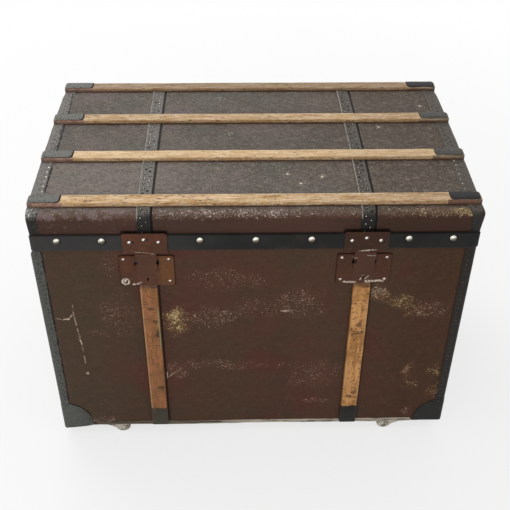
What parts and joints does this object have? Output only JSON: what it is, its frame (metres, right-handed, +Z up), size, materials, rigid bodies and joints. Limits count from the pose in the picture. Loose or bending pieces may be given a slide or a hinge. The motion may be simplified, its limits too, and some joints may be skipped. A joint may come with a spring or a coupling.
{
  "type": "dome top trunk",
  "caption": "Slatted canvas-covered travelling trunk with a low crowned hinged lid, lid stays, hasps, lock bolts, drop handles and rollers.",
  "frame": {"origin": "bottom centre of the whole trunk, on the floor under its rollers", "axes": "+X to the trunk's right seen from the front, -Y out of the front with the locks, +Z up"},
  "size_m": [0.908, 0.5662, 0.6354],
  "materials": {
    "slat_wood": "satin",
    "board_wood": "matte",
    "body_canvas": "matte",
    "lid_canvas": "matte",
    "lining": "matte",
    "valance": "satin",
    "black_iron": "satin",
    "lock_paint": "satin",
    "nickel": "satin",
    "steel": "satin",
    "tin": "satin",
    "leather": "satin"
  },
  "bodies": {
    "trunk_body": {"front_slat_left": "slat_wood", "front_slat_right": "slat_wood", "back_slats": "slat_wood", "front_board": "board_wood", "back_board": "board_wood", "left_end_board": "board_wood", "right_end_board": "board_wood", "bottom_board": "board_wood", "bottom_battens": "board_wood", "body_canvas": "body_canvas", "body_lining": "lining", "corner_bindings": "black_iron", "bottom_corners": "black_iron", "slat_foot_caps": "black_iron", "hinge_body_leaves": "black_iron", "handle_brackets": "black_iron", "lock_plate_left": "lock_paint", "lock_plate_right": "lock_paint", "lock_nails": "nickel", "hinge_pins": "steel", "lock_cases": "steel", "stay_studs": "steel", "roller_housings": "steel", "bottom_sheet": "tin"},
    "lid": {"lid_slat_1": "slat_wood", "lid_slat_2": "slat_wood", "lid_slat_3": "slat_wood", "lid_slat_4": "slat_wood", "lid_front_rail": "board_wood", "lid_back_rail": "board_wood", "lid_left_end": "board_wood", "lid_right_end": "board_wood", "lid_top_panel": "board_wood", "lid_canvas": "lid_canvas", "lid_lining": "lining", "lid_valance": "valance", "lid_bands": "black_iron", "lid_edge_bindings": "black_iron", "slat_caps": "black_iron", "valance_nails": "nickel", "hasp_plates": "lock_paint", "hasp_pins": "steel", "hasp_rivets": "nickel", "hinge_lid_leaves": "black_iron", "stay_pivots": "steel"},
    "hasp_left": {"hasp_left": "lock_paint"},
    "lock_bolt_left": {"lock_bolt_left": "steel"},
    "stay_arm_left": {"stay_arm_left": "steel"},
    "handle_left": {"handle_bail_left": "steel", "handle_grip_left": "leather"},
    "roller_front_left": {"roller_front_left": "steel"},
    "roller_back_left": {"roller_back_left": "steel"},
    "hasp_right": {"hasp_right": "lock_paint"},
    "lock_bolt_right": {"lock_bolt_right": "steel"},
    "stay_arm_right": {"stay_arm_right": "steel"},
    "handle_right": {"handle_bail_right": "steel", "handle_grip_right": "leather"},
    "roller_front_right": {"roller_front_right": "steel"},
    "roller_back_right": {"roller_back_right": "steel"}
  },
  "joints": [
    {"name": "lid_hinge", "type": "hinge", "parent": "trunk_body", "child": "lid", "pos_m": [0, 0.2776, 0.546], "axis": [-1, 0, 0], "range_deg": [0, 100]},
    {"name": "hasp_left_swing", "type": "hinge", "parent": "lid", "child": "hasp_left", "pos_m": [-0.215, -0.2799, 0.527], "axis": [-1, 0, 0], "range_deg": [0, 150]},
    {"name": "lock_bolt_left_slide", "type": "slide", "parent": "trunk_body", "child": "lock_bolt_left", "axis": [1, 0, 0], "range_m": [0, 0.013]},
    {"name": "stay_left_pivot", "type": "hinge", "parent": "lid", "child": "stay_arm_left", "pos_m": [-0.4139, 0.12988, 0.57205], "axis": [-1, 0, 0], "range_deg": [-50, 0]},
    {"name": "handle_left_swing", "type": "hinge", "parent": "trunk_body", "child": "handle_left", "pos_m": [-0.444, -0.0004, 0.363], "axis": [0, 1, 0], "range_deg": [0, 170]},
    {"name": "roller_front_left_spin", "type": "hinge", "parent": "trunk_body", "child": "roller_front_left", "pos_m": [-0.304, -0.2594, 0.017], "axis": [0, 1, 0], "continuous": true},
    {"name": "roller_back_left_spin", "type": "hinge", "parent": "trunk_body", "child": "roller_back_left", "pos_m": [-0.304, 0.2586, 0.017], "axis": [0, 1, 0], "continuous": true},
    {"name": "hasp_right_swing", "type": "hinge", "parent": "lid", "child": "hasp_right", "pos_m": [0.215, -0.2799, 0.527], "axis": [-1, 0, 0], "range_deg": [0, 150]},
    {"name": "lock_bolt_right_slide", "type": "slide", "parent": "trunk_body", "child": "lock_bolt_right", "axis": [-1, 0, 0], "range_m": [0, 0.013]},
    {"name": "stay_right_pivot", "type": "hinge", "parent": "lid", "child": "stay_arm_right", "pos_m": [0.4139, 0.12988, 0.57205], "axis": [-1, 0, 0], "range_deg": [-50, 0]},
    {"name": "handle_right_swing", "type": "hinge", "parent": "trunk_body", "child": "handle_right", "pos_m": [0.444, -0.0004, 0.363], "axis": [0, -1, 0], "range_deg": [0, 170]},
    {"name": "roller_front_right_spin", "type": "hinge", "parent": "trunk_body", "child": "roller_front_right", "pos_m": [0.304, -0.2594, 0.017], "axis": [0, 1, 0], "continuous": true},
    {"name": "roller_back_right_spin", "type": "hinge", "parent": "trunk_body", "child": "roller_back_right", "pos_m": [0.304, 0.2586, 0.017], "axis": [0, 1, 0], "continuous": true}
  ],
  "couplings": [
    {"joint": "stay_left_pivot", "follows": "lid_hinge", "ratio": -0.5},
    {"joint": "stay_right_pivot", "follows": "lid_hinge", "ratio": -0.5}
  ]
}
